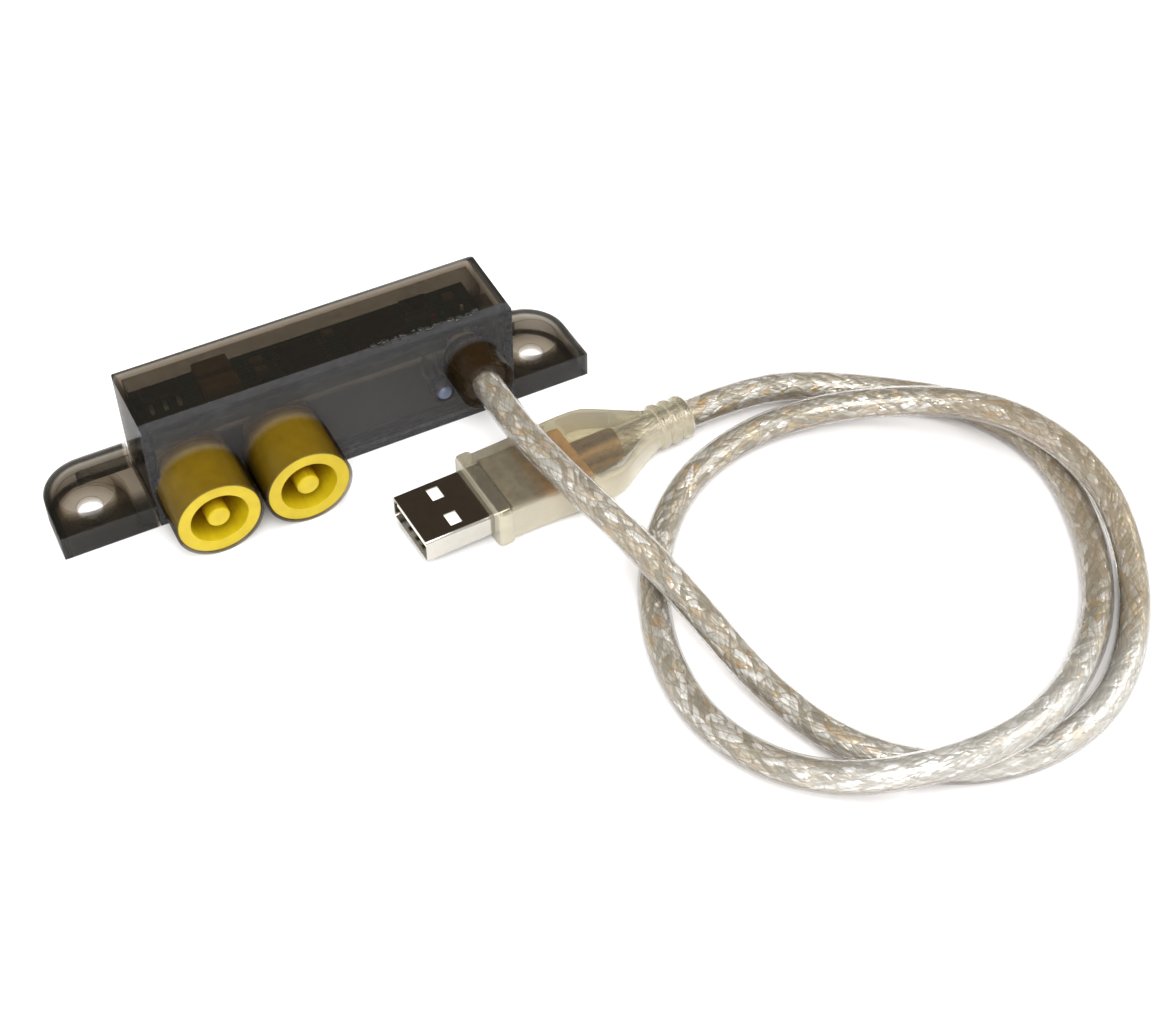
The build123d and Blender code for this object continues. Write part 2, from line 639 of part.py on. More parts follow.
# The clear grip: a flat block that swells, narrows to a neck and ends in tapering relief rings.
# Its sections, from the collar to the neck: s, half width, half height and corner round.
GRIP_SECTIONS = [
    (12.2, 7.7, 4.0, 1.1),
    (20.0, 7.8, 4.0, 1.1),
    (28.0, 8.2, 4.0, 1.1),
    (33.5, 8.3, 4.0, 1.2),
    (37.5, 7.1, 4.0, 1.4),
    (40.5, 5.3, 3.9, 1.9),
    (43.5, 3.9, 3.7, 2.8),
    (45.5, 3.6, 3.55, 3.3),
]
COLLAR_LENGTH = 2.4
COLLAR_PROUD = 0.35
NECK_RADIUS = 3.5
RINGS = [(47.0, 3.95), (49.2, 3.8), (51.3, 3.65)]
RING_WIDTH = 1.1
neck_start = GRIP_SECTIONS[-1][0] - 1.0
grip_width, grip_height, grip_round = (2 * GRIP_SECTIONS[0][1], 2 * GRIP_SECTIONS[0][2], GRIP_SECTIONS[0][3])
with BuildPart() as plug_grip:
    for s, half_width, half_height, corner_round in GRIP_SECTIONS:
        with BuildSketch(across_plug(s)):
            RectangleRounded(2 * half_width, 2 * half_height, corner_round)
    loft(ruled=True)
    with BuildSketch(across_plug(SHELL_EXPOSED)):
        RectangleRounded(grip_width + 2 * COLLAR_PROUD, grip_height, grip_round)
    extrude(amount=COLLAR_LENGTH)
    with BuildSketch(across_plug(neck_start)):
        Circle(NECK_RADIUS)
    extrude(amount=RELIEF_END - neck_start)
    for ring_s, ring_radius in RINGS:
        with BuildSketch(across_plug(ring_s - RING_WIDTH / 2)):
            Circle(ring_radius)
        extrude(amount=RING_WIDTH)
    # Moulded round the shell, the inner mould, the crimp and the cable's end.
    with BuildSketch(across_plug(SHELL_EXPOSED)):
        RectangleRounded(SHELL_WIDTH, SHELL_HEIGHT, SHELL_ROUND)
    extrude(amount=SHELL_LENGTH - SHELL_EXPOSED, mode=Mode.SUBTRACT)
    with BuildSketch(across_plug(INNER_MOULD_START)):
        RectangleRounded(INNER_MOULD_WIDTH, INNER_MOULD_HEIGHT, INNER_MOULD_ROUND)
    extrude(amount=INNER_MOULD_END - INNER_MOULD_START, mode=Mode.SUBTRACT)
    with BuildSketch(across_plug(INNER_MOULD_END)):
        Circle(CABLE_RADIUS + CRIMP_WALL)
    extrude(amount=CRIMP_END - INNER_MOULD_END, mode=Mode.SUBTRACT)
    with BuildSketch(across_plug(INNER_MOULD_END)):
        Circle(CABLE_RADIUS)
    extrude(amount=RELIEF_END - INNER_MOULD_END, mode=Mode.SUBTRACT)
finish(plug_grip, "plug_grip")

# The cable's free length, from the boss's mouth round one and a half loose turns to the grip.
# It passes over the grip and over itself, lies on the floor, and its last turn rests on its first.
CABLE_ROUTE = [
    (CABLE_X, boss_front, CABLE_Z),
    (CABLE_X, -21.5, CABLE_Z),
    (27.3, -35.0, 12.4),
    (31.4, -49.0, 10.0),
    (35.0, -63.0, 6.2),
    (37.4, -77.6, 3.2),
    (42.0, -92.7, 2.6),
    (52.1, -103.3, 2.6),
    (65.5, -108.1, 2.6),
    (79.7, -106.3, 2.6),
    (91.6, -98.5, 2.6),
    (101.3, -86.4, 2.6),
    (105.9, -73.7, 5.0),
    (104.8, -60.8, 8.4),
    (99.2, -48.6, 8.4),
    (89.2, -39.8, 6.5),
    (76.6, -32.6, 4.0),
    (61.9, -30.9, 2.6),
    (47.1, -36.3, 2.6),
    (34.7, -49.0, 2.6),
    (27.2, -65.0, 2.6),
    (26.3, -82.2, 2.6),
    (34.4, -97.4, 4.0),
    (48.8, -106.1, 8.2),
    (65.5, -106.9, 8.6),
    (80.3, -99.7, 5.5),
    (92.5, -88.0, 2.6),
    (100.5, -74.0, 2.6),
    (103.4, -58.0, 2.6),
    (98.9, -43.2, 2.6),
    (88.0, -31.8, 2.6),
    (76.0, -24.9, 3.4),
    tuple(plug_plane.from_local_coords((RELIEF_END + 9.6, 0, 0))),
    tuple(plug_plane.from_local_coords((RELIEF_END, 0, 0))),
]


def corner_radii(points):
    """The largest arc that each corner's two runs allow."""
    radii = []
    for before, corner, after in zip(points, points[1:], points[2:]):
        incoming = Vector(*corner) - Vector(*before)
        outgoing = Vector(*after) - Vector(*corner)
        half_turn = math.radians(incoming.get_angle(outgoing)) / 2
        radii.append(0.45 * min(incoming.length, outgoing.length) / math.tan(half_turn))
    return radii


cable_radii = corner_radii(CABLE_ROUTE)
with BuildPart() as usb_cable:
    with BuildLine():
        cable_line = FilletPolyline(*CABLE_ROUTE, radius=cable_radii)
    with BuildSketch(Plane(origin=cable_line @ 0, z_dir=cable_line % 0)):
        Circle(CABLE_RADIUS)
    sweep()
finish(usb_cable, "usb_cable")
cable_length = cable_line.length
section_volume = math.pi * CABLE_RADIUS**2 * cable_length
print("cable radii, mm:", [round(radius, 1) for radius in cable_radii])
print("cable length, mm:", round(cable_length, 1))
print("cable volume over section times length:", round(usb_cable.part.volume / section_volume, 4))
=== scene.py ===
import math
from random import Random

import bmesh
import bpy
from mathutils import Matrix, Vector, noise


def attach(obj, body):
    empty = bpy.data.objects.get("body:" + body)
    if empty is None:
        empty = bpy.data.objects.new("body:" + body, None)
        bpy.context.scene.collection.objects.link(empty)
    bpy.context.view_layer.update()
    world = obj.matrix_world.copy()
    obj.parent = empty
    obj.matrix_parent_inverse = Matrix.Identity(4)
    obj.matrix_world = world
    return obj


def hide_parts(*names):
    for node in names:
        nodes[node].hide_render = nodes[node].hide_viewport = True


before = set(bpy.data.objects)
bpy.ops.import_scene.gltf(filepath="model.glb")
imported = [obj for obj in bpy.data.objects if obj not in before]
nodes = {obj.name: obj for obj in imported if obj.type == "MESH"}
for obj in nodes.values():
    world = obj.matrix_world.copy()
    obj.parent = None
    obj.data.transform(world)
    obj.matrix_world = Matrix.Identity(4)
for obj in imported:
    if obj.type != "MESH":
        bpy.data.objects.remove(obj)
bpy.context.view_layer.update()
MM = 0.001

# ---------------------------------------------------------------- camera

CAMERA_AIM = Vector((0.03266, -0.03128, 0.0))
CAMERA_AZIMUTH = math.radians(-27.58)
CAMERA_ELEVATION = math.radians(47.035)
CAMERA_DISTANCE = 0.33258
CAMERA_LENS = 61.88
CAMERA_ROLL = math.radians(0.106)


def make_camera():
    data = bpy.data.cameras.new("camera")
    data.sensor_width = 36.0
    data.lens = CAMERA_LENS
    data.clip_start = 0.01
    data.clip_end = 10.0
    camera = bpy.data.objects.new("camera", data)
    bpy.context.scene.collection.objects.link(camera)
    back = Vector((
        math.sin(CAMERA_AZIMUTH) * math.cos(CAMERA_ELEVATION),
        -math.cos(CAMERA_AZIMUTH) * math.cos(CAMERA_ELEVATION),
        math.sin(CAMERA_ELEVATION),
    ))
    turn = (-back).to_track_quat("-Z", "Y").to_matrix() @ Matrix.Rotation(CAMERA_ROLL, 3, "Z")
    camera.matrix_world = Matrix.Translation(CAMERA_AIM + CAMERA_DISTANCE * back) @ turn.to_4x4()
    bpy.context.scene.camera = camera


make_camera()

# ---------------------------------------------------------------- node helpers


class Shader:
    """A material under construction: makes nodes, and links a socket given as an input's value."""

    def __init__(self, name):
        self.material = bpy.data.materials.new(name)
        self.material.use_nodes = True
        self.tree = self.material.node_tree
        self.tree.nodes.clear()

    def add(self, kind, inputs=None, **settings):
        made = self.tree.nodes.new(kind)
        for key, value in settings.items():
            setattr(made, key, value)
        for key, value in (inputs or {}).items():
            self.put(made.inputs[key], value)
        return made

    def put(self, socket, value):
        if isinstance(value, bpy.types.NodeSocket):
            self.tree.links.new(value, socket)
        else:
            socket.default_value = value

    def math(self, operation, *values):
        made = self.add("ShaderNodeMath", operation=operation)
        for socket, value in zip(made.inputs, values):
            self.put(socket, value)
        return made.outputs[0]

    def place(self, scale=(1, 1, 1)):
        """Object coordinates in millimetres, stretched by scale."""
        coords = self.add("ShaderNodeTexCoord").outputs["Object"]
        sizes = [1000 * part for part in scale]
        return self.add("ShaderNodeMapping", {"Vector": coords, "Scale": sizes}).outputs[0]

    def split_place(self):
        """Object coordinates in millimetres, one by one."""
        return self.add("ShaderNodeSeparateXYZ", {"Vector": self.place()}).outputs

    def noise(self, scale, detail=3.0, rough=0.5, stretch=(1, 1, 1), where=None):
        """Noise from 0 to 1, where scale is features per millimetre."""
        made = self.add(
            "ShaderNodeTexNoise",
            {"Vector": where or self.place(stretch), "Scale": scale, "Detail": detail, "Roughness": rough},
        )
        return made.outputs["Fac"]

    def ramp(self, value, low, high, start=0.0, end=1.0):
        """value mapped from low..high to start..end and clamped."""
        made = self.add(
            "ShaderNodeMapRange",
            {"Value": value, "From Min": low, "From Max": high, "To Min": start, "To Max": end},
        )
        return made.outputs[0]

    def mix(self, share, first, second):
        made = self.add("ShaderNodeMix", data_type="RGBA")
        self.put(made.inputs[0], share)
        for socket, value in ((made.inputs[6], first), (made.inputs[7], second)):
            self.put(socket, value if isinstance(value, bpy.types.NodeSocket) else (*value, 1.0))
        return made.outputs[2]

    def bump(self, height, strength, distance):
        made = self.add("ShaderNodeBump", {"Height": height, "Strength": strength, "Distance": distance})
        return made.outputs[0]

    def facing(self, blend=0.5):
        return self.add("ShaderNodeLayerWeight", {"Blend": blend}).outputs["Facing"]

    def upward(self):
        """How far the surface faces up: 1 on a level top, 0 on a wall and -1 underneath."""
        normal = self.add("ShaderNodeNewGeometry").outputs["Normal"]
        return self.add("ShaderNodeSeparateXYZ", {"Vector": normal}).outputs[2]

    def principled(self, **inputs):
        named = {key.replace("_", " "): value for key, value in inputs.items()}
        return self.add("ShaderNodeBsdfPrincipled", named).outputs[0]

    def show(self, surface, volume=None):
        out = self.add("ShaderNodeOutputMaterial", {"Surface": surface})
        if volume is not None:
            self.put(out.inputs["Volume"], volume)
        return self.material


def rgb(red, green, blue):
    """A colour given as screen values from 0 to 255, as linear values."""
    linear = []
    for value in (red, green, blue):
        share = value / 255
        linear.append(share / 12.92 if share <= 0.04045 else ((share + 0.055) / 1.055) ** 2.4)
    return tuple(linear)


# ---------------------------------------------------------------- materials


def clear_plastic(
    name, tint, edge_tint, absorb, density, roughness, haze=0.0, haze_colour=(1, 1, 1), mirror=1.0,
    mirror_most=0.6, mirrors_inside=False, side_haze=0.0, thick=None, clear=None,
):
    """Clear plastic: tinted at each face, darker edge-on, and darker again through its thickness.

    haze is the share of the surface that is cloudy, and side_haze is what steep faces add to it.
    thick gives, from the shader, the share by which a place looks darker for the wall behind it, and
    clear the share by which it looks clearer. mirror scales the reflection, up to mirror_most. Light
    isn't bent on its way out, so only mirrors_inside lets the inner faces reflect.
    """
    s = Shader(name)
    scuffs = s.noise(0.9, 5.0, 0.65)
    fine = s.noise(5.0, 3.0, 0.6)
    colour = s.mix(s.math("POWER", s.facing(0.35), 2.2), tint, edge_tint)
    if clear is not None:
        colour = s.mix(clear(s), colour, CLEAR_TINT)
    if thick is not None:
        colour = s.mix(thick(s), colour, THICK_TINT)
    through = s.add("ShaderNodeBsdfTransparent", {"Color": colour}).outputs[0]
    rough = s.ramp(scuffs, 0.35, 0.75, roughness * 0.7, roughness * 1.8)
    normal = s.bump(fine, 0.05, 0.00002)
    cloud_colour = haze_colour(s) if callable(haze_colour) else (*haze_colour, 1.0)
    cloud = s.principled(Base_Color=cloud_colour, Roughness=0.6)
    cloudy = s.ramp(scuffs, 0.3, 0.7, haze * 0.8, haze * 1.2)
    if side_haze > 0:
        steep = s.ramp(s.math("ABSOLUTE", s.upward()), 0.85, 0.35, 0.0, side_haze)
        cloudy = s.math("ADD", cloudy, steep)
    body = s.add("ShaderNodeMixShader", {0: cloudy, 1: through, 2: cloud})
    gloss = s.add("ShaderNodeBsdfAnisotropic", {"Color": (1, 1, 1, 1), "Roughness": rough, "Normal": normal})
    share = s.add("ShaderNodeFresnel", {"IOR": 1.5, "Normal": normal}).outputs[0]
    share = s.math("MINIMUM", s.math("MULTIPLY", share, mirror), mirror_most)
    if not mirrors_inside:
        entering = s.math("SUBTRACT", 1.0, s.add("ShaderNodeNewGeometry").outputs["Backfacing"])
        share = s.math("MULTIPLY", share, entering)
    surface = s.add("ShaderNodeMixShader", {0: share, 1: body.outputs[0], 2: gloss.outputs[0]}).outputs[0]
    volume = None
    if density > 0:
        volume = s.add("ShaderNodeVolumeAbsorption", {"Color": (*absorb, 1.0), "Density": density}).outputs[0]
    return s.show(surface, volume)


THICK_TINT = (0.12, 0.12, 0.12)
CLEAR_TINT = (0.97, 0.955, 0.93)
BODY_LOW = Vector((-31.0, -3.2, 0.0))
BODY_HIGH = Vector((33.0, 13.2, 21.0))
EAR_REACH = 47.2
EAR_ROUND = 7.8
EAR_HEIGHT = 4.8


def box_walls(s):
    """Where the box's roof, seen from above, has a wall or an edge of the roof beneath it."""
    x, y, z = s.split_place()
    back_inside = s.ramp(y, BODY_HIGH.y - 1.9, BODY_HIGH.y - 1.5)
    back_outside = s.ramp(y, BODY_HIGH.y - 0.05, BODY_HIGH.y - 0.5)
    back = s.math("MULTIPLY", back_inside, back_outside)
    right = s.ramp(x, BODY_HIGH.x - 1.5, BODY_HIGH.x - 1.1)
    left = s.math("MULTIPLY", s.ramp(x, BODY_LOW.x + 0.9, BODY_LOW.x + 0.6), 0.7)
    walls = s.math("MAXIMUM", back, s.math("MAXIMUM", left, right))
    return s.math("MULTIPLY", walls, s.ramp(z, BODY_HIGH.z - 1.6, BODY_HIGH.z - 1.1))


def ear_rims(s):
    """Where an ear has its outer rim or its solid front beneath its skin."""
    x, y, z = s.split_place()
    out = s.math("ABSOLUTE", x)
    past_x = s.math("MAXIMUM", s.math("SUBTRACT", out, EAR_REACH - EAR_ROUND), 0.0)
    past_y = s.math("MAXIMUM", s.math("SUBTRACT", y, BODY_HIGH.y - EAR_ROUND), 0.0)
    square_x = s.math("MULTIPLY", past_x, past_x)
    square_y = s.math("MULTIPLY", past_y, past_y)
    reach = s.math("SQRT", s.math("ADD", square_x, square_y))
    inward = s.math("SUBTRACT", EAR_ROUND, reach)
    rim = s.math("MULTIPLY", s.ramp(inward, 1.7, 1.2), s.ramp(inward, 0.1, 0.5, 0.45, 1.0))
    front = s.ramp(y, 1.6, -0.4, 0.0, 0.75)
    low = s.ramp(z, EAR_HEIGHT + 0.4, EAR_HEIGHT + 0.2)
    outside = s.ramp(out, -BODY_LOW.x + 0.2, -BODY_LOW.x + 0.8)
    return s.math("MULTIPLY", s.math("MAXIMUM", rim, front), s.math("MULTIPLY", low, outside))


def panel_edges(s):
    """Where the front panel meets the box's floor, roof and end walls."""
    x, y, z = s.split_place()
    level = s.math("MAXIMUM", s.ramp(z, 1.5, 0.9), s.ramp(z, BODY_HIGH.z - 1.5, BODY_HIGH.z - 0.9, 0.0, 0.8))
    left_end = s.ramp(x, BODY_LOW.x + 1.7, BODY_LOW.x + 1.2)
    right_end = s.ramp(x, BODY_HIGH.x - 1.7, BODY_HIGH.x - 1.2)
    ends = s.math("MAXIMUM", left_end, right_end)
    return s.math("MULTIPLY", s.math("MAXIMUM", level, ends), s.ramp(y, BODY_LOW.y - 0.3, BODY_LOW.y - 0.1))


def front_haze(s):
    """The haze in the front panel: grey in the wall, and brown in the barrels and the boss."""
    _, y, _ = s.split_place()
    return s.mix(s.ramp(y, BODY_LOW.y - 1.6, BODY_LOW.y - 0.3), rgb(72, 52, 18), rgb(156, 156, 158))


def ear_area(s):
    """The ears, whose thin skin lets more through than the box does."""
    x, _, z = s.split_place()
    right = s.ramp(x, BODY_HIGH.x - 0.2, BODY_HIGH.x + 0.2)
    left = s.ramp(x, BODY_LOW.x + 0.2, BODY_LOW.x - 0.2)
    return s.math("MULTIPLY", s.math("MAXIMUM", left, right), s.ramp(z, EAR_HEIGHT + 0.4, EAR_HEIGHT + 0.2))


def smoke_plastic(name, tint, edge_tint, haze_colour, haze, thick=None, clear=None, mirror=0.5):
    return clear_plastic(
        name, tint, edge_tint, absorb=(0.56, 0.51, 0.44), density=680.0, roughness=0.13, haze=haze,
        haze_colour=haze_colour, mirror=mirror, mirror_most=0.13, thick=thick, clear=clear,
    )


CUP_DEPTH = 0.009


def yellow_plastic():
    s = Shader("yellow_plastic")
    flow = s.noise(0.35, 3.0, 0.5)
    grain = s.noise(9.0, 4.0, 0.6)
    colour = s.mix(s.ramp(flow, 0.35, 0.65), rgb(182, 160, 14), rgb(174, 150, 10))
    # Painted shade: the depth of the cup is painted dark amber through an occlusion mask, standing in for the
    # shade there and the light bounced off its walls.
    sky = s.add("ShaderNodeAmbientOcclusion", {"Distance": CUP_DEPTH}, samples=8, only_local=True)
    painted_cup_shade = s.ramp(sky.outputs["AO"], 0.36, 0.08)
    rough = s.ramp(grain, 0.3, 0.7, 0.30, 0.44)
    return s.show(s.principled(
        Base_Color=s.mix(painted_cup_shade, colour, rgb(112, 60, 0)), Roughness=rough, Specular_IOR_Level=0.35,
        Normal=s.bump(grain, 0.12, 0.00003),
    ))


def plated_metal(name, colour, roughness, streak=(1, 14, 14), tarnish=0.25):
    s = Shader(name)
    streaks = s.noise(1.2, 4.0, 0.6, streak)
    spots = s.noise(0.5, 4.0, 0.6)
    dark = tuple(0.55 * part for part in colour)
    shade = s.mix(s.math("MULTIPLY", s.ramp(spots, 0.45, 0.75), tarnish), colour, dark)
    rough = s.ramp(streaks, 0.3, 0.7, roughness * 0.7, roughness * 1.5)
    return s.show(s.principled(
        Base_Color=shade, Metallic=1.0, Roughness=rough, Normal=s.bump(streaks, 0.10, 0.00002),
    ))


def plain_plastic(name, colour, roughness, variation=0.12, grain=10.0):
    s = Shader(name)
    flow = s.noise(0.8, 3.0, 0.5)
    texture = s.noise(grain, 3.0, 0.6)
    dark = tuple((1 - 2 * variation) * part for part in colour)
    shade = s.mix(s.ramp(flow, 0.3, 0.7), colour, dark)
    rough = s.ramp(texture, 0.3, 0.7, roughness * 0.85, min(1.0, roughness * 1.2))
    return s.show(s.principled(Base_Color=shade, Roughness=rough, Normal=s.bump(texture, 0.15, 0.00002)))


def tan_mould():
    """The plug's inner mould: greyer over the shell's rear, and browner over the wires behind it."""
    s = Shader("tan_mould")
    x, _, _ = s.split_place()
    flow = s.noise(0.5, 3.0, 0.55)
    grain = s.noise(4.0, 3.0, 0.6)
    front = s.mix(s.ramp(flow, 0.3, 0.7), rgb(104, 96, 80), rgb(72, 64, 54))
    rear = s.mix(s.ramp(flow, 0.3, 0.7), rgb(162, 118, 62), rgb(124, 90, 46))
    colour = s.mix(s.ramp(s.math("ADD", x, s.math("MULTIPLY", grain, 1.2)), 24.0, 27.5), front, rear)
    return s.show(s.principled(
        Base_Color=colour, Roughness=s.ramp(grain, 0.3, 0.7, 0.42, 0.6), Normal=s.bump(grain, 0.15, 0.00002),
    ))


def board_laminate():
    """Dark green solder mask over copper tracks, which run in straight lanes and look lighter than it."""
    s = Shader("board_laminate")
    lanes = s.add(
        "ShaderNodeTexBrick",
        {"Vector": s.place((1, 1, 1)), "Scale": 1.0, "Mortar Size": 0.12, "Mortar Smooth": 0.05,
         "Brick Width": 6.5, "Row Height": 0.9},
    )
    tracks = lanes.outputs["Fac"]
    weave = s.noise(5.0, 2.0, 0.5)
    mask = s.mix(s.ramp(weave, 0.35, 0.65), (0.012, 0.022, 0.012), (0.017, 0.030, 0.016))
    colour = s.mix(s.math("MULTIPLY", tracks, 0.55), mask, (0.045, 0.075, 0.035))
    return s.show(s.principled(
        Base_Color=colour, Roughness=0.28, Normal=s.bump(tracks, 0.2, 0.00003), Coat_Weight=0.4,
        Coat_Roughness=0.12,
    ))


def lens_epoxy():
    s = Shader("led_lens")
    facing = s.facing(0.3)
    through = s.add("ShaderNodeBsdfTransparent", {"Color": (0.85, 0.92, 1.0, 1.0)}).outputs[0]
    body = s.principled(
        Base_Color=s.mix(facing, rgb(104, 114, 138), rgb(66, 74, 92)), Roughness=0.3, Coat_Weight=0.3,
        Normal=s.bump(s.noise(8.0), 0.1, 0.00002),
    )
    return s.show(s.add("ShaderNodeMixShader", {0: 0.8, 1: through, 2: body}).outputs[0])


BRAID_PITCH = 21.0
BRAID_CARRIERS = 4
CABLE_ROUND = 14.0


def silver_braid():
    """Crumpled silver strands in long lenses, laid both ways, with warm brown lines and flecks between.

    The mesh's UV map is the length along the cable in millimetres and the share of a turn around it."""
    s = Shader("silver_braid")
    uv = s.add("ShaderNodeUVMap", uv_map="along_and_around").outputs[0]
    split = s.add("ShaderNodeSeparateXYZ", {"Vector": uv})
    along, around = split.outputs[0], split.outputs[1]

    def laid(turns_per_mm, long, wide):
        """Places on the cable wound at a pitch, in units of one lens's length and width."""
        share = s.math("ADD", around, s.math("MULTIPLY", along, turns_per_mm))
        angle = s.math("MULTIPLY", share, math.tau)
        out = CABLE_ROUND / math.tau / wide
        return s.add("ShaderNodeCombineXYZ", {
            "X": s.math("DIVIDE", along, long),
            "Y": s.math("MULTIPLY", s.math("COSINE", angle), out),
            "Z": s.math("MULTIPLY", s.math("SINE", angle), out),
        }).outputs[0]

    def lenses(where):
        scatter = {"Vector": where, "Scale": 1.0, "Randomness": 0.9}
        cells = s.add("ShaderNodeTexVoronoi", scatter)
        rims = s.add("ShaderNodeTexVoronoi", scatter, feature="DISTANCE_TO_EDGE")
        split_cell = s.add("ShaderNodeSeparateXYZ", {"Vector": cells.outputs["Color"]})
        return split_cell.outputs[0], split_cell.outputs[1], rims.outputs["Distance"]

    shade, hue, rim = lenses(laid(0.016, 3.6, 1.0))
    cross_shade, cross_hue, cross_rim = lenses(laid(-0.035, 2.6, 0.85))
    fibre = s.noise(1.0, 3.0, 0.6, where=laid(0.016, 1.6, 0.28))
    drift = s.noise(1.0, 2.0, 0.5, where=laid(0.0, 16.0, 4.0))
    # The lenses vary in tone as silver strands do, and the brightest are painted near white: painted
    # highlights that stand in for glints.
    silver = s.mix(s.ramp(shade, 0.25, 0.85), rgb(184, 183, 178), rgb(246, 246, 245))
    warm = s.mix(s.ramp(cross_hue, 0.3, 0.8), rgb(196, 184, 158), rgb(176, 140, 84))
    warmth = s.math("MULTIPLY", s.ramp(hue, 0.52, 0.70), s.ramp(drift, 0.40, 0.60, 0.35, 1.0))
    lens = s.mix(warmth, silver, warm)
    dull = s.mix(s.ramp(cross_shade, 0.60, 0.72), lens, rgb(146, 142, 130))
    lined = s.mix(s.ramp(rim, 0.09, 0.02, 0.0, 0.75), dull, rgb(134, 120, 98))
    lined = s.mix(s.math("MULTIPLY", s.ramp(cross_rim, 0.08, 0.02), 0.6), lined, rgb(134, 120, 98))
    colour = s.mix(s.ramp(fibre, 0.42, 0.68, 0.0, 0.45), lined, rgb(150, 140, 120))
    # Painted light and shade: the strands are painted lighter silver along the loop's near side, where light
    # falls, and browner down its right side and on faces turned down, where shade falls.
    x, y, _ = s.split_place()
    lit_near_run = s.ramp(y, -92.0, -103.0)
    shaded_far_run = s.math("MULTIPLY", s.ramp(x, 86.0, 98.0), s.math("SUBTRACT", 1.0, lit_near_run))
    colour = s.mix(s.math("MULTIPLY", lit_near_run, 0.35), colour, rgb(232, 234, 236))
    colour = s.mix(s.math("MULTIPLY", shaded_far_run, 0.50), colour, rgb(146, 128, 98))
    colour = s.mix(s.ramp(s.upward(), -0.12, -0.34, 0.0, 0.8), colour, rgb(150, 120, 94))
    rough = s.ramp(shade, 0.2, 0.9, 0.45, 0.16)
    crumple = s.math("ADD", s.ramp(rim, 0.0, 0.35), s.math("MULTIPLY", s.ramp(cross_rim, 0.0, 0.35), 0.7))
    crumple = s.math("ADD", crumple, s.math("MULTIPLY", fibre, 0.35))
    return s.show(s.principled(
        Base_Color=colour, Metallic=0.5, Roughness=rough, Normal=s.bump(crumple, 0.6, 0.0002),
    ))


def clear_jacket():
    return clear_plastic(
        "clear_jacket", tint=(0.99, 0.985, 0.97), edge_tint=(0.66, 0.64, 0.60), absorb=(0.95, 0.92, 0.86),
        density=0.0, roughness=0.06, haze=0.04, haze_colour=rgb(220, 218, 210), mirrors_inside=True,
    )


def clear_grip():
    return clear_plastic(
        "clear_grip", tint=(0.95, 0.93, 0.87), edge_tint=(0.40, 0.34, 0.25), absorb=(0.62, 0.55, 0.20),
        density=80.0, roughness=0.12, haze=0.08, haze_colour=rgb(222, 213, 188), mirrors_inside=True,
        side_haze=0.42,
    )


SMOKE = smoke_plastic(
    "smoke_plastic", (0.68, 0.66, 0.63), (0.26, 0.26, 0.27), rgb(112, 108, 98), 0.04,
    thick=lambda s: s.math("MAXIMUM", box_walls(s), ear_rims(s)), clear=ear_area,
)
SMOKE_FRONT = smoke_plastic(
    "smoke_front", (0.84, 0.81, 0.75), (0.30, 0.30, 0.32), front_haze, 0.11, thick=panel_edges,
    mirror=0.2,
)
SMOKE_EDGE = smoke_plastic("smoke_edge", (0.20, 0.20, 0.20), (0.08, 0.08, 0.08), rgb(20, 20, 22), 0.45)
YELLOW = yellow_plastic()
JACKET = clear_jacket()
GRIP = clear_grip()
BRAID = silver_braid()
AMBER = clear_plastic(
    "amber_plastic", tint=(0.62, 0.54, 0.44), edge_tint=(0.30, 0.24, 0.18), absorb=(0.60, 0.48, 0.32),
    density=420.0, roughness=0.2, haze=0.30, haze_colour=rgb(74, 60, 44),
)
SPRING = plated_metal("spring_metal", rgb(214, 180, 112), 0.28)
NICKEL = plated_metal("plated_metal", rgb(186, 182, 174), 0.14, (1, 1, 1), 0.2)
TIN = plated_metal("tinned_metal", rgb(205, 205, 200), 0.30)
GOLD = plated_metal("gold_contact", rgb(230, 186, 96), 0.22)
CRIMP = plated_metal("crimp_metal", rgb(150, 118, 76), 0.34, (3, 3, 3), 0.8)
BOARD = board_laminate()
EPOXY = plain_plastic("chip_epoxy", (0.018, 0.018, 0.019), 0.55)
TANTALUM = plain_plastic("tantalum_yellow", rgb(112, 90, 50), 0.45)
CERAMIC = plain_plastic("ceramic_tan", rgb(112, 96, 72), 0.4)
RESISTOR = plain_plastic("resistor_black", (0.02, 0.02, 0.024), 0.25)
LENS = lens_epoxy()
NYLON = plain_plastic("nylon_tie", rgb(226, 224, 214), 0.4, 0.06)
WHITE = plain_plastic("white_insulator", rgb(238, 238, 234), 0.42, 0.05)
TAN = tan_mould()
WIRE_RED = plain_plastic("wire_red", rgb(170, 20, 18), 0.35)
WIRE_GREEN = plain_plastic("wire_green", rgb(20, 120, 50), 0.35)
WIRE_BLACK = plain_plastic("wire_black", (0.012, 0.012, 0.012), 0.35)
WIRE_WHITE = plain_plastic("wire_white", rgb(232, 232, 228), 0.35)

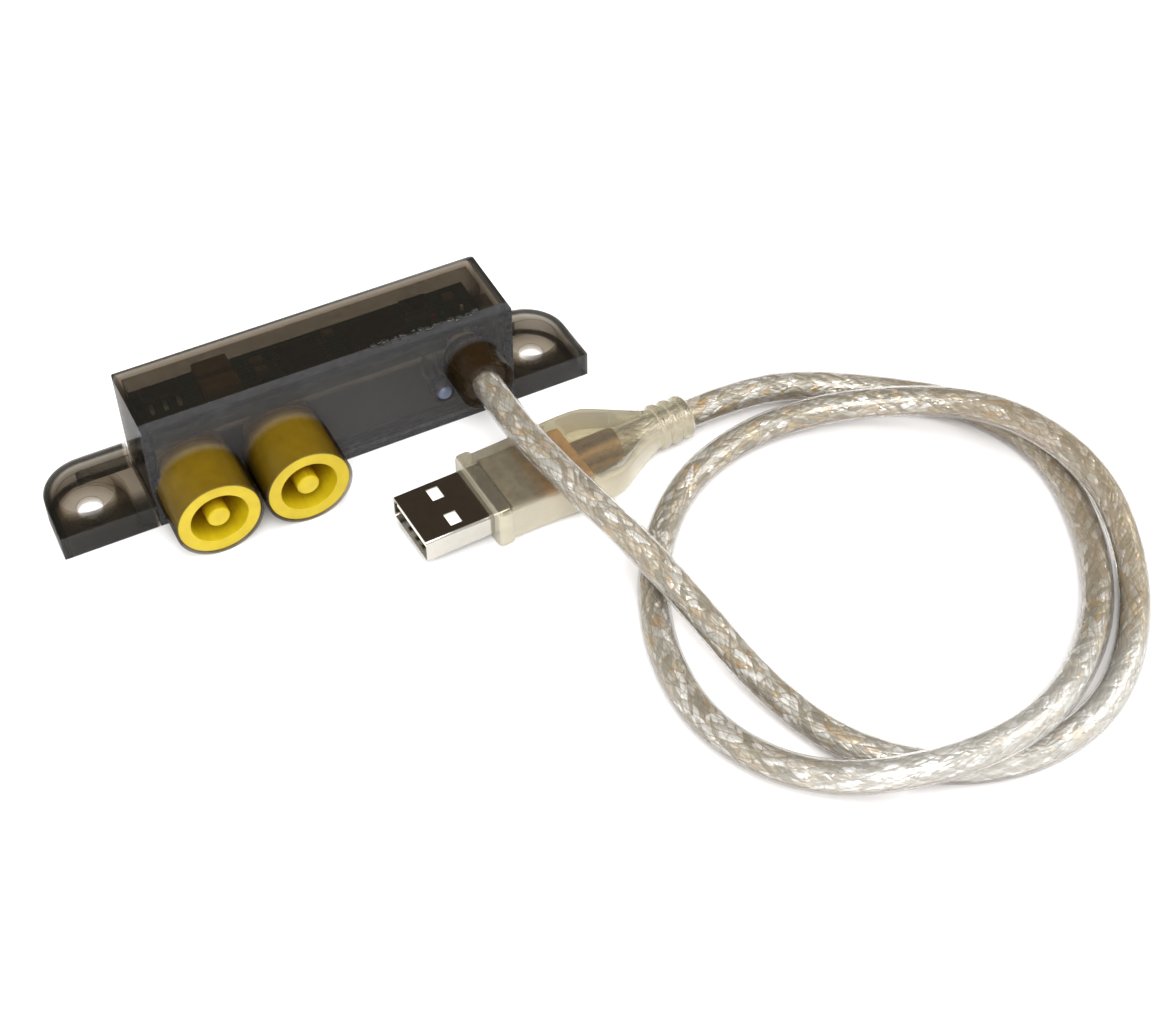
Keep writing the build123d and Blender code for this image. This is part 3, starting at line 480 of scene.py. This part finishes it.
NODE_MATERIALS = {
    "rear_housing": SMOKE, "front_panel": SMOKE_FRONT, "left_socket": YELLOW, "right_socket": YELLOW,
    "left_contact_leaf": SPRING, "right_contact_leaf": SPRING,
    "left_contact_terminal": SPRING, "right_contact_terminal": SPRING,
    "left_ring_contact": NICKEL, "right_ring_contact": NICKEL,
    "circuit_board": BOARD, "microcontroller": EPOXY, "microcontroller_leads": TIN,
    "usb_interface_chip": EPOXY, "usb_interface_chip_leads": TIN,
    "voltage_regulator": EPOXY, "voltage_regulator_leads": TIN, "crystal": NICKEL,
    "tantalum_capacitors": TANTALUM, "ceramic_capacitors": CERAMIC, "resistors": RESISTOR,
    "status_led": LENS, "status_led_leads": TIN, "cable_bush": AMBER, "cable_tie": NYLON,
    "cable_tail": JACKET, "cable_head": JACKET,
    "red_wire": WIRE_RED, "green_wire": WIRE_GREEN, "black_wire": WIRE_BLACK, "white_wire": WIRE_WHITE,
    "plug_shell": NICKEL, "plug_insulator": WHITE, "plug_contacts": GOLD,
    "plug_inner_mould": TAN, "plug_crimp": CRIMP,
}


FLASH = plain_plastic("weld_flash", rgb(44, 43, 40), 0.24, 0.3, 3.0)


def finish_cad_nodes():
    """Gives every CAD node that stays its material."""
    for name, material in NODE_MATERIALS.items():
        node = nodes[name]
        node.data.materials.clear()
        node.data.materials.append(material)


BEVELS = {
    "rear_housing": 0.32, "front_panel": 0.2, "left_socket": 0.18, "right_socket": 0.18,
    "plug_shell": 0.08, "plug_insulator": 0.08, "left_contact_leaf": 0.05, "right_contact_leaf": 0.05,
    "circuit_board": 0.06, "tantalum_capacitors": 0.15, "ceramic_capacitors": 0.08, "resistors": 0.06,
}


WELD_DISTANCE = 0.000002
FLAT_ANGLE = math.radians(0.6)
SHARP_ANGLE = math.radians(38)


def soften_edges():
    """Bevels the hard edges of the CAD nodes: flat faces are joined first, so the bevel runs true."""
    for name, width in BEVELS.items():
        node = nodes[name]
        weld = node.modifiers.new("weld", "WELD")
        weld.merge_threshold = WELD_DISTANCE
        flats = node.modifiers.new("flats", "DECIMATE")
        flats.decimate_type = "DISSOLVE"
        flats.angle_limit = FLAT_ANGLE
        bevel = node.modifiers.new("bevel", "BEVEL")
        bevel.width = width * MM
        bevel.segments = 2
        bevel.limit_method = "ANGLE"
        bevel.angle_limit = SHARP_ANGLE
        bevel.harden_normals = True
        if node.data.materials[0] in (SMOKE, SMOKE_FRONT):
            # Light runs along the plastic at its edges, so they look darker than its faces.
            node.data.materials.append(SMOKE_EDGE)
            bevel.material = 1


finish_cad_nodes()
soften_edges()

# ---------------------------------------------------------------- cable

CABLE_DIAMETER = 0.0052
JACKET_LINE = [
    (0.0250, -0.0102, 0.0129), (0.0250, -0.0215, 0.0129), (0.0273, -0.0350, 0.0124),
    (0.0314, -0.0490, 0.0100), (0.0350, -0.0630, 0.0062), (0.0374, -0.0776, 0.0032),
    (0.0420, -0.0927, 0.0026), (0.0521, -0.1033, 0.0026), (0.0655, -0.1081, 0.0026),
    (0.0797, -0.1063, 0.0026), (0.0916, -0.0985, 0.0026), (0.1013, -0.0864, 0.0032),
    (0.1056, -0.0734, 0.0070), (0.1047, -0.0608, 0.0086), (0.0992, -0.0486, 0.0084),
    (0.0892, -0.0398, 0.0065), (0.0766, -0.0326, 0.0040), (0.0619, -0.0309, 0.0026),
    (0.0471, -0.0363, 0.0026), (0.0347, -0.0490, 0.0026), (0.0272, -0.0650, 0.0026),
    (0.0263, -0.0822, 0.0026), (0.0344, -0.0974, 0.0040), (0.0488, -0.1061, 0.0082),
    (0.0655, -0.1069, 0.0086), (0.0803, -0.0997, 0.0055), (0.0930, -0.0886, 0.0026),
    (0.1013, -0.0745, 0.0026), (0.1057, -0.0577, 0.0026), (0.1005, -0.0421, 0.0026),
    (0.0880, -0.0318, 0.0026), (0.0760, -0.0249, 0.0034), (0.06483, -0.02310, 0.0040),
    (0.05524, -0.02355, 0.0040),
]
TAIL_END = Vector((0.0250, 0.0015, 0.0129))
PLUG_MOUTH = Vector((0.0033, -0.0260, 0.0040))
PLUG_TURN = math.radians(2.7)
PLUG_AXIS = Vector((math.cos(PLUG_TURN), math.sin(PLUG_TURN), 0))
PLUG_ACROSS = Vector((-math.sin(PLUG_TURN), math.cos(PLUG_TURN), 0))
UP = Vector((0, 0, 1))


def plug_point(s, t, z):
    """A point on the plug, in millimetres: s from its mouth, t across it and z above the floor."""
    return PLUG_MOUTH + PLUG_AXIS * s * MM + PLUG_ACROSS * t * MM + UP * (z * MM - PLUG_MOUTH.z)


def spline_curve(name, points, radius):
    data = bpy.data.curves.new(name, "CURVE")
    data.dimensions = "3D"
    data.resolution_u = 16
    data.bevel_depth = radius
    data.bevel_resolution = 6
    data.use_fill_caps = True
    spline = data.splines.new("NURBS")
    spline.points.add(len(points) - 1)
    for target, point in zip(spline.points, points):
        target.co = (*point, 1.0)
    spline.order_u = 3
    spline.use_endpoint_u = True
    spline.use_smooth = True
    made = bpy.data.objects.new(name, data)
    bpy.context.scene.collection.objects.link(made)
    return made


def spline_points(points):
    """The smooth line itself, as points read from the spline."""
    line = spline_curve("line", points, 0.0)
    line.data.use_fill_caps = False
    bpy.context.view_layer.update()
    mesh = bpy.data.meshes.new_from_object(line.evaluated_get(bpy.context.evaluated_depsgraph_get()))
    places = [vertex.co.copy() for vertex in mesh.vertices]
    bpy.data.meshes.remove(mesh)
    bpy.data.objects.remove(line)
    return places


def even_points(points, step):
    """The same line with its points a step apart."""
    made = [points[0].copy()]
    left = step
    for start, end in zip(points, points[1:]):
        run = (end - start).length
        gone = 0.0
        while run - gone >= left:
            gone += left
            made.append(start.lerp(end, gone / run))
            left = step
        left -= run - gone
    made.append(points[-1].copy())
    return made


BRAID_STEP = 0.0005
BRAID_SIDES = 40
BRAID_RADIUS = 0.00222
BRAID_RELIEF = 0.00010


def braid_relief(length, share):
    """How far the braid stands out at a length in millimetres and a share of a turn."""
    lead = BRAID_CARRIERS * length / BRAID_PITCH
    first = math.cos(math.tau * (BRAID_CARRIERS * share + lead))
    second = math.cos(math.tau * (BRAID_CARRIERS * share - lead))
    turn = math.tau * share
    place = Vector((length * 0.45, math.cos(turn) * 2.2, math.sin(turn) * 2.2))
    crinkle = noise.noise(place)
    return BRAID_RELIEF * (0.5 * max(first, second) + 0.9 * crinkle)


def braid_tube(name, path):
    """A tube along the path whose surface is the braid's own relief."""
    mesh = bmesh.new()
    uv_layer = mesh.loops.layers.uv.new("along_and_around")
    tangent = (path[1] - path[0]).normalized()
    side = tangent.cross(UP).normalized()
    rings = []
    length = 0.0
    for index, point in enumerate(path):
        after = path[min(index + 1, len(path) - 1)]
        before = path[max(index - 1, 0)]
        ahead = (after - before).normalized()
        side = (side - ahead * side.dot(ahead)).normalized()
        lift = ahead.cross(side)
        if index:
            length += (point - before).length / MM
        ring = []
        for corner in range(BRAID_SIDES):
            share = corner / BRAID_SIDES
            radius = BRAID_RADIUS + braid_relief(length, share)
            angle = math.tau * share
            ring.append(mesh.verts.new(point + (side * math.cos(angle) + lift * math.sin(angle)) * radius))
        rings.append((length, ring))
    for (low, first), (high, second) in zip(rings, rings[1:]):
        for corner in range(BRAID_SIDES):
            after = (corner + 1) % BRAID_SIDES
            face = mesh.faces.new((first[corner], first[after], second[after], second[corner]))
            face.smooth = True
            places = ((low, corner), (low, corner + 1), (high, corner + 1), (high, corner))
            for loop, (along, around) in zip(face.loops, places):
                loop[uv_layer].uv = (along, around / BRAID_SIDES)
    mesh.faces.new(list(reversed(rings[0][1])))
    mesh.faces.new(rings[-1][1])
    bmesh.ops.recalc_face_normals(mesh, faces=mesh.faces)
    data = bpy.data.meshes.new(name)
    mesh.to_mesh(data)
    mesh.free()
    made = bpy.data.objects.new(name, data)
    bpy.context.scene.collection.objects.link(made)
    return made


CRIMP_START = 31.2
jacket = spline_curve("cable_jacket", JACKET_LINE, CABLE_DIAMETER / 2)
jacket.data.materials.append(JACKET)
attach(jacket, "housing")
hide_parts("usb_cable")

braid_path = [TAIL_END, *spline_points(JACKET_LINE), plug_point(CRIMP_START, 0, 4)]
braid = braid_tube("cable_braid", even_points(braid_path, BRAID_STEP))
braid.data.materials.append(BRAID)
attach(braid, "housing")

# ---------------------------------------------------------------- plug grip

# Sections of the grip: s, half width, half height and corner round, in millimetres.
GRIP_SECTIONS = [
    (12.2, 7.55, 3.70, 1.0), (12.5, 7.95, 3.96, 1.2), (12.9, 8.05, 4.0, 1.2), (14.2, 8.05, 4.0, 1.2),
    (14.6, 7.95, 3.96, 1.2), (14.9, 7.62, 3.72, 1.2), (15.3, 7.55, 3.70, 1.2), (19.0, 7.62, 3.74, 1.3),
    (23.0, 7.80, 3.82, 1.5), (26.0, 8.05, 3.90, 1.8), (29.0, 8.22, 3.96, 2.0), (31.5, 8.30, 4.0, 2.1),
    (34.0, 8.20, 4.0, 2.1), (35.6, 7.90, 3.98, 2.1), (37.2, 7.15, 3.92, 2.1), (39.0, 6.05, 3.84, 2.1),
    (41.0, 4.95, 3.72, 2.2), (43.0, 4.05, 3.60, 2.6), (44.8, 3.55, 3.45, 3.2),
]
NECK_RADIUS = 3.42
RING_STARTS = (45.6, 47.9, 50.2)
RING_RADII = (4.0, 3.92, 3.84)
RING_WIDTH = 1.5
RING_ROUND = 0.35
GRIP_END = 52.0
SECTION_POINTS = 15


def rounded_section(half_width, half_height, corner_round):
    """Points round a rounded rectangle, evenly shared between its four corners and sides."""
    points = []
    for quarter in range(4):
        side_x = 1 if quarter in (0, 3) else -1
        side_y = 1 if quarter in (0, 1) else -1
        for step in range(SECTION_POINTS):
            angle = math.pi / 2 * (quarter + step / (SECTION_POINTS - 1))
            points.append((
                side_x * (half_width - corner_round) + corner_round * math.cos(angle),
                side_y * (half_height - corner_round) + corner_round * math.sin(angle),
            ))
    return points


def grip_sections():
    """All the grip's sections, from its flat front face to the last relief ring."""
    sections = [(s, rounded_section(width, height, turn)) for s, width, height, turn in GRIP_SECTIONS]
    for start, radius in zip(RING_STARTS, RING_RADII):
        profile = (
            (start - 0.05, NECK_RADIUS), (start, radius - RING_ROUND), (start + RING_ROUND, radius),
            (start + RING_WIDTH - RING_ROUND, radius), (start + RING_WIDTH, radius - RING_ROUND),
            (start + RING_WIDTH + 0.05, NECK_RADIUS),
        )
        for s, ring_radius in profile:
            sections.append((s, rounded_section(ring_radius, ring_radius, 0.999 * ring_radius)))
    tip = (GRIP_END, rounded_section(NECK_RADIUS - 0.2, NECK_RADIUS - 0.2, 0.999 * (NECK_RADIUS - 0.2)))
    return [*sections, tip]


def make_grip():
    mesh = bmesh.new()
    rings = []
    for s, section in grip_sections():
        rings.append([mesh.verts.new(plug_point(s, t, 4.0 + z)) for t, z in section])
    count = len(rings[0])
    for first, second in zip(rings, rings[1:]):
        for corner in range(count):
            after = (corner + 1) % count
            mesh.faces.new((first[corner], first[after], second[after], second[corner])).smooth = True
    mesh.faces.new(list(reversed(rings[0])))
    mesh.faces.new(rings[-1])
    bmesh.ops.remove_doubles(mesh, verts=mesh.verts, dist=0.000004)
    bmesh.ops.recalc_face_normals(mesh, faces=mesh.faces)
    data = bpy.data.meshes.new("plug_grip_skin")
    mesh.to_mesh(data)
    mesh.free()
    grip = bpy.data.objects.new("plug_grip_skin", data)
    bpy.context.scene.collection.objects.link(grip)
    grip.data.materials.append(GRIP)
    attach(grip, "housing")
    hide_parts("plug_grip")
    return grip


grip = make_grip()

# ---------------------------------------------------------------- weld flash

FLASH_START = 9.0
FLASH_END = 27.5
FLASH_STEP = 0.42
FLASH_Y = -1.3
FLASH_Z = 21.0


def make_weld_flash():
    """Clear crumbs squeezed out of the seam between the panel and the box, along the roof."""
    random = Random(5)
    mesh = bmesh.new()
    x = FLASH_START
    while x < FLASH_END:
        size = random.uniform(0.18, 0.42)
        place = Vector((x, FLASH_Y + random.uniform(-0.45, 0.45), FLASH_Z + 0.1 * size))
        stretch = Vector((random.uniform(0.8, 2.0), random.uniform(0.6, 1.2), random.uniform(0.4, 0.8)))
        crumb = bmesh.ops.create_icosphere(mesh, subdivisions=3, radius=1.0)
        for vertex in crumb["verts"]:
            lump = 1 + 0.35 * noise.noise(vertex.co * 1.7 + place)
            vertex.co = (place + vertex.co * stretch * size * lump) * MM
        x += FLASH_STEP * random.uniform(0.6, 1.6)
    for face in mesh.faces:
        face.smooth = True
    data = bpy.data.meshes.new("weld_flash")
    mesh.to_mesh(data)
    mesh.free()
    flash = bpy.data.objects.new("weld_flash", data)
    bpy.context.scene.collection.objects.link(flash)
    flash.data.materials.append(FLASH)
    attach(flash, "housing")


make_weld_flash()

# ---------------------------------------------------------------- studio

FLOOR_HALF = 3.0
DARK_FLAG = (0.316, 0.604, 0.732)


def make_floor():
    s = Shader("floor_white")
    cloud = s.noise(0.02, 2.0, 0.5)
    colour = s.mix(cloud, (0.86, 0.86, 0.86), (0.88, 0.88, 0.88))
    material = s.show(s.principled(Base_Color=colour, Roughness=0.9, Specular_IOR_Level=0.1))
    mesh = bmesh.new()
    signs = ((-1, -1), (1, -1), (1, 1), (-1, 1))
    corners = [mesh.verts.new((x * FLOOR_HALF, y * FLOOR_HALF, 0.0)) for x, y in signs]
    mesh.faces.new(corners)
    data = bpy.data.meshes.new("floor")
    mesh.to_mesh(data)
    mesh.free()
    floor = bpy.data.objects.new("floor", data)
    floor.data.materials.append(material)
    bpy.context.scene.collection.objects.link(floor)


def soft_light(name, place, size, power, mirrored=True, aim=(0.03, -0.04, 0.0)):
    data = bpy.data.lights.new(name, "AREA")
    data.shape = "RECTANGLE"
    data.size, data.size_y = size
    data.energy = power
    light = bpy.data.objects.new(name, data)
    light.location = place
    light.visible_glossy = mirrored
    light.rotation_euler = (Vector(aim) - Vector(place)).to_track_quat("-Z", "Y").to_euler()
    bpy.context.scene.collection.objects.link(light)


def make_world():
    """A soft white studio with one dark flag, high behind the object, for its level faces to mirror."""
    world = bpy.data.worlds.new("studio")
    bpy.context.scene.world = world
    world.use_nodes = True
    tree = world.node_tree
    background = tree.nodes["Background"]
    coords = tree.nodes.new("ShaderNodeTexCoord")
    towards = tree.nodes.new("ShaderNodeVectorMath")
    towards.operation = "DOT_PRODUCT"
    towards.inputs[1].default_value = DARK_FLAG
    tree.links.new(coords.outputs["Generated"], towards.inputs[0])
    ramp = tree.nodes.new("ShaderNodeValToRGB")
    ramp.color_ramp.elements[0].position = 0.35
    ramp.color_ramp.elements[0].color = (1.0, 1.0, 1.0, 1.0)
    ramp.color_ramp.elements[1].position = 0.85
    ramp.color_ramp.elements[1].color = (0.085, 0.066, 0.048, 1.0)
    tree.links.new(towards.outputs["Value"], ramp.inputs["Fac"])
    tree.links.new(ramp.outputs["Color"], background.inputs["Color"])
    background.inputs["Strength"].default_value = 0.95


make_floor()
make_world()
soft_light("key", (-0.16, -0.50, 0.68), (0.45, 0.45), 5.5)
soft_light("fill", (0.60, -0.30, 0.50), (0.5, 0.4), 3.0)
soft_light("top", (0.05, 0.05, 0.95), (0.5, 0.5), 5.0, mirrored=False)
soft_light("back_left", (-0.60, 0.45, 0.45), (0.4, 0.4), 3.5, mirrored=False)
soft_light("back_right", (0.80, 0.20, 0.50), (0.4, 0.4), 3.5, mirrored=False)
scene = bpy.context.scene
scene.view_settings.view_transform = "Standard"
scene.cycles.transparent_max_bounces = 32
